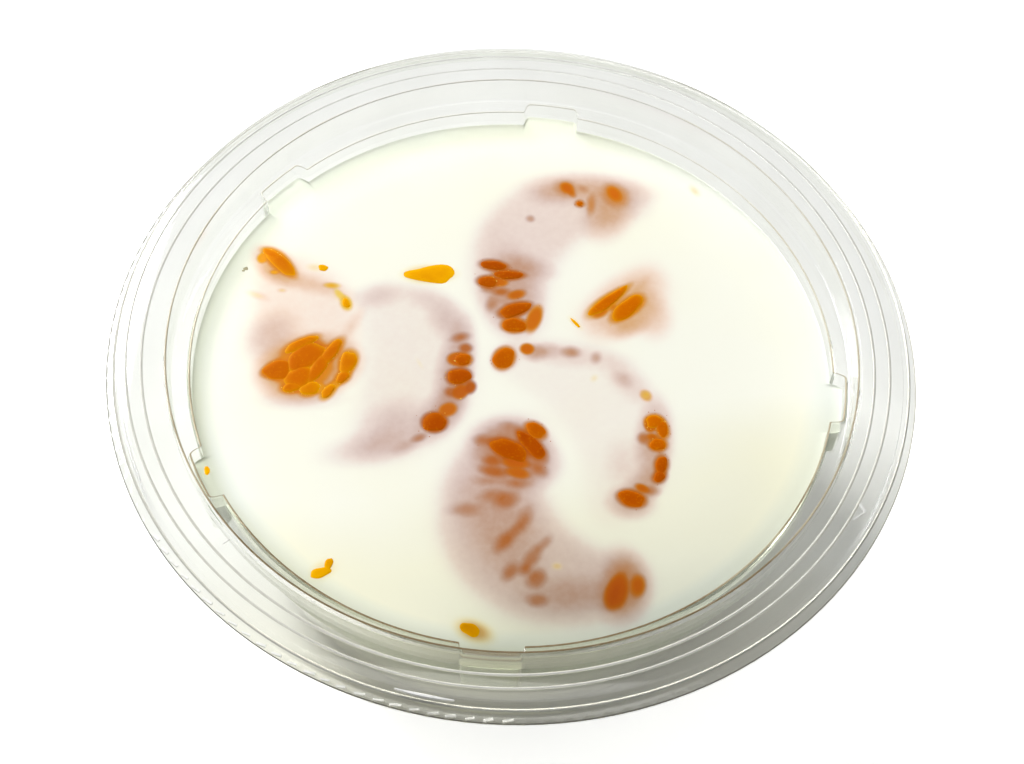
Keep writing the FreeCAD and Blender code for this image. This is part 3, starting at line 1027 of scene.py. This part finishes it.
def fruit_colours(x, y):
    """The jelly surface's paint at each point: how bare the fruit is, its hue, and the yellow haze."""
    hidden = np.ones_like(x)
    hue_sum = np.zeros_like(x)
    weight_sum = np.full_like(x, 1e-6)
    for node, segment in segments.items():
        marks = segment.patches + segment.veiled + [halo(mark) for mark in segment.bare]
        layers = [(segment.veil * sample(shadows[node], x, y), 0)]
        layers += [(mark_share(x, y, mark), mark.gold) for mark in marks]
        for share, gold in layers:
            hidden = hidden * (1 - share)
            weight = share ** 3
            hue_sum += weight * max(0, segment.hue + gold)
            weight_sum += weight
    clear = np.ones_like(x)
    for mark in yellow_haze:
        clear = clear * (1 - mark_share(x, y, mark))
    return np.stack([1 - hidden, hue_sum / weight_sum, 1 - clear, np.ones_like(x)], 1)


def turned_with(mark, along, across):
    """The offset from a mark's middle to the point that lies this far along and across its length."""
    turn = math.radians(mark.angle)
    return along * math.cos(turn) - across * math.sin(turn), along * math.sin(turn) + across * math.cos(turn)


def sac_outline(mark, spokes):
    """Points round a juice sac, slightly uneven."""
    waves = [(2, 0.05), (3, 0.06), (5, 0.035), (7, 0.015)]
    waves = [(count, size, seeded.uniform(0, 6.28)) for count, size in waves]
    outline = []
    for i in range(spokes):
        angle = 2 * math.pi * i / spokes
        wobble = 1 + sum(size * math.sin(count * angle + phase) for count, size, phase in waves)
        along = mark.length / 2 * wobble * math.copysign(abs(math.cos(angle)) ** 0.9, math.cos(angle))
        across = mark.width / 2 * wobble * math.copysign(abs(math.sin(angle)) ** 0.9, math.sin(angle))
        across *= 1 + mark.taper * along / (mark.length / 2)
        outline.append(turned_with(mark, along, across))
    return np.array(outline)


def sac_mesh(mark, hue, shade=0.0):
    """A flat-topped juice sac, bedded in the jelly: vertices, faces and paint."""
    spokes = 28
    tops = [(1.0, -0.04), (0.96, 0.15), (0.88, 0.5), (0.74, 0.8), (0.5, 0.95), (0.25, 1.0)]
    bottoms = [(0.9, 0.5), (0.6, 0.85), (0.25, 1.0)]
    outline = sac_outline(mark, spokes)
    middle = np.array([mark.x, mark.y])
    depth = min(sac_depth, mark.width / 2)
    rings = [(share, jelly_z - depth * fall) for share, fall in reversed(bottoms)]
    rings += [(share, jelly_z + sac_height * rise) for share, rise in tops]
    # The middle, a little off centre, is the deepest in colour, and the rim is more golden.
    lean = np.array([seeded.uniform(-0.2, 0.2), seeded.uniform(-0.2, 0.2)]) * mark.width
    core = hue + mark.gold + seeded.uniform(-0.12, 0.02)
    vertices, paint = [], []
    for share, height in rings:
        own_hue = np.clip(core + 0.12 * share ** 2 + 0.2 * share ** 12, 0, 1)
        for point in outline * share + middle + lean * (1 - share):
            vertices.append((*point, height))
            paint.append((1 - 0.1 * share ** 8, own_hue, shade, 1))
    return vertices, closed_faces(len(rings), spokes), paint


def with_paint(parts):
    """Several (vertices, faces, paint) as one."""
    vertices, faces = joined([part[:2] for part in parts])
    return vertices, faces, np.concatenate([np.asarray(part[2], float) for part in parts])


def sunk_body(node, hue):
    """The segment's solid from the frame, lowered so that the jelly closes over it."""
    sink = 0.3
    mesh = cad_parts[node].data
    vertices = [tuple(v.co / MM - Vector((0, 0, sink))) for v in mesh.vertices]
    faces = [tuple(p.vertices) for p in mesh.polygons]
    return vertices, faces, [(0.9, hue, 0, 1)] * len(vertices)


def make_segment(node, segment, material):
    sacs = [sac_mesh(mark, segment.hue) for mark in segment.bare]
    vertices, faces, paint = with_paint([sunk_body(node, segment.hue)] + sacs)
    piece = make_piece(node + "_pulp", vertices, faces, material, paint)
    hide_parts(node)


def crumb(x, y, size):
    """A tiny dome that stands just out of the jelly: vertices and faces."""
    sides = 7
    rings = ((1.0, -0.02), (0.8, 0.02), (0.3, 0.03))
    vertices = []
    for share, rise in rings:
        for i in range(sides):
            angle = 2 * math.pi * (i + 0.37 * share) / sides
            reach = size * share * (1 + 0.2 * math.sin(2.3 * i))
            vertices.append((x + reach * math.cos(angle), y + reach * math.sin(angle), jelly_z + rise))
    return vertices, closed_faces(len(rings), sides)


def scattered(centres, count, reach, sizes):
    """Crumbs strewn round some marks' outlines, seeded."""
    crumbs = []
    for _ in range(count):
        mark = seeded.choice(centres)
        angle = seeded.uniform(0, 2 * math.pi)
        away = 1 + seeded.uniform(0.02, reach)
        along = mark.length / 2 * away * math.cos(angle)
        across = mark.width / 2 * away * math.sin(angle)
        x, y = turned_with(mark, along, across)
        crumbs.append(crumb(mark.x + x, mark.y + y, seeded.uniform(*sizes)))
    return crumbs


def make_crumbs(name, crumbs, colour):
    vertices, faces = joined(crumbs)
    piece = make_piece(name, vertices, faces, speck_material(name, colour))


def make_all_crumbs():
    """Broken pulp round the sacs: brown specks, pale golden ones, and one dark fleck."""
    grainy = [segments["mandarin_segment_" + number] for number in "1456"]
    edges = [mark for segment in grainy for mark in segment.bare]
    make_crumbs("pulp_specks", scattered(edges, 90, 0.9, (0.05, 0.1)), srgb(196, 116, 60))
    wet = segments["mandarin_segment_1"].bare[:3] + segments["mandarin_segment_4"].bare
    wet = wet + segments["mandarin_segment_5"].bare[1:4]
    pale = scattered(wet + segments["mandarin_segment_2"].bare, 80, 0.4, (0.04, 0.09))
    pale += scattered(segments["mandarin_segment_3"].bare[1:], 130, 0.12, (0.04, 0.1))
    pale += [crumb(*place, 0.17) for place in ((-8.6, 0.0), (-7.3, -6.7), (-3.1, 15.2), (20.2, -4.3))]
    make_crumbs("pale_specks", pale, srgb(244, 196, 84))
    make_crumbs("dark_fleck", [crumb(-41.9, 15.2, 0.42), crumb(-42.2, 14.8, 0.25)], srgb(176, 168, 136))


def make_loose_sacs(material):
    sacs = [sac_mesh(mark, hue, shade) for mark, hue, shade in loose_sacs]
    vertices, faces, paint = with_paint(sacs)
    piece = make_piece("loose_sacs", vertices, faces, material, paint)


# ---------------- Jelly ----------------

def jelly_side_rows(angles):
    """The jelly's skin, from its free surface near the wall down the side to its floor."""
    edge = neck_radius + jelly_reach
    bulge = flute_bulge(angles)
    rows = []
    for share in (0, 0.2, 0.4, 0.56, 0.7, 0.8, 0.88, 0.94, 1):
        radius = cap_radius + (edge + bulge - cap_radius) * share
        rise = meniscus_height * np.exp((radius - edge - bulge) / meniscus_fade)
        rise = rise * smooth(np.full(len(angles), share * 3))
        rows.append((radius, jelly_z + rise))
    foot = flute_foot_z - jelly_reach
    rows.append((edge + bulge, foot + flute_draft))
    corners = [
        Corner(edge, foot - flute_draft),
        Corner(edge, band_z - 0.3, band_round),
        Corner(base_radius - wall + jelly_reach, wall - jelly_reach, base_round + jelly_reach),
        Corner(floor_middle, wall - jelly_reach),
    ]
    for radius, height, *_ in rounded_rows(corners):
        rows.append((np.full(len(angles), float(radius)), height))
    return rows


def surface_points():
    """Points of the jelly's surface inside the cap radius: close over the fruit, wide apart elsewhere."""
    row_step = fine_step * math.sqrt(3) / 2
    rows = int(cap_radius / row_step)
    columns = int(cap_radius / fine_step)
    i, j = np.meshgrid(np.arange(-columns, columns + 1), np.arange(-rows, rows + 1))
    i, j = i.ravel(), j.ravel()
    x = (i + 0.5 * (j % 2)) * fine_step
    y = j * row_step
    inside = np.hypot(x, y) < cap_radius - 0.3
    i, j, x, y = i[inside], j[inside], x[inside], y[inside]
    colours = fruit_colours(x, y)
    busy = (colours[:, 0] > 0.012) | (colours[:, 2] > 0.012)
    kept = busy | ((i % coarse_every == 0) & (j % coarse_every == 0))
    return np.stack([x, y], 1)[kept]


def make_jelly():
    angles = column_angles(0.8)
    vertices, faces = turned_skin(jelly_side_rows(angles), angles)
    # The skin's own middle of the top is taken away, and a fine surface goes in its place.
    count = len(angles)
    top_middle = len(vertices) - 2
    faces = [face for face in faces if top_middle not in face]
    rim = vertices[:count, :2]
    points = np.concatenate([rim, surface_points()])
    edges = [(i, (i + 1) % count) for i in range(count)]
    flat = delaunay_2d_cdt([Vector(p) for p in points], edges, [], 1, 1e-4)
    surface, triangles, origins = flat[0], flat[2], flat[3]
    place = {}
    more = []
    start = len(vertices)
    for index, sources in enumerate(origins):
        if sources and sources[0] < count:
            place[index] = sources[0]
        else:
            place[index] = start + len(more)
            more.append((surface[index][0], surface[index][1], jelly_z))
    vertices = np.concatenate([vertices, more])
    faces += [tuple(place[corner] for corner in triangle) for triangle in triangles]
    # The unused middle vertex goes to the end of the list and off it.
    used = np.ones(len(vertices), bool)
    used[top_middle] = False
    renumber = np.cumsum(used) - 1
    vertices = vertices[used]
    faces = [tuple(int(renumber[corner]) for corner in face) for face in faces]
    colours = fruit_colours(vertices[:, 0], vertices[:, 1])
    below = vertices[:, 2] < jelly_z - 0.01
    colours[below, 0] = 0
    colours[below, 2] = 0
    jelly = make_piece("jelly_filling", vertices, faces, jelly_material(), colours)
    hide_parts("milk_jelly")


# ---------------- Stage ----------------

def make_floor():
    corners = [(-floor_half, -floor_half, 0), (floor_half, -floor_half, 0),
               (floor_half, floor_half, 0), (-floor_half, floor_half, 0)]
    mesh = bpy.data.meshes.new("floor")
    mesh.from_pydata(corners, [], [(0, 1, 2, 3)])
    mesh.materials.append(floor_material())
    floor = in_scene("floor", mesh)


def make_world():
    world = bpy.data.worlds.new("studio")
    bpy.context.scene.world = world
    world.use_nodes = True
    tree = world.node_tree
    background = tree.nodes["Background"]
    background.inputs["Color"].default_value = (1, 1, 1, 1)
    seen = direct_rays(tree, 1 - fill)
    tree.links.new(math_node(tree, "ADD", seen, fill), background.inputs["Strength"])


def make_lamp(name, place, size, power):
    """A square soft box that faces the cup."""
    data = bpy.data.lights.new(name, "AREA")
    data.shape = "SQUARE"
    data.size = size
    data.energy = power
    lamp = in_scene(name, data)
    lamp.location = place
    lamp.rotation_euler = (-Vector(place)).to_track_quat("-Z", "Y").to_euler()


def make_camera():
    """Looks down at the cup from the front, tipped a little to one side."""
    data = bpy.data.cameras.new("camera")
    data.lens = 58.0
    data.sensor_width = 36.0
    data.clip_start = 0.01
    camera = in_scene("camera", data)
    place = Vector((0.1, -137.9, cup_height + 196.5)) * MM
    elevation, roll = math.radians(56.66), math.radians(2.855)
    look = Matrix.Rotation(math.pi / 2 - elevation, 4, "X") @ Matrix.Rotation(roll, 4, "Z")
    camera.matrix_world = Matrix.Translation(place) @ look
    bpy.context.scene.camera = camera


make_camera()
make_floor()
make_world()
make_lamp("overhead", (-0.02, 0.02, 1.0), 0.5, 1.3)
make_lamp("window", (-0.80, 0.89, 1.12), 0.65, 28.7)
bpy.context.scene.view_settings.view_transform = "Standard"
bpy.context.scene.cycles.glossy_bounces = 12

make_cup()
make_fine_ridges()
make_edge_lines()
make_flange_marks()
make_jelly()
pulp = mandarin_material()
for node, segment in segments.items():
    make_segment(node, segment, pulp)
make_loose_sacs(pulp)
make_all_crumbs()
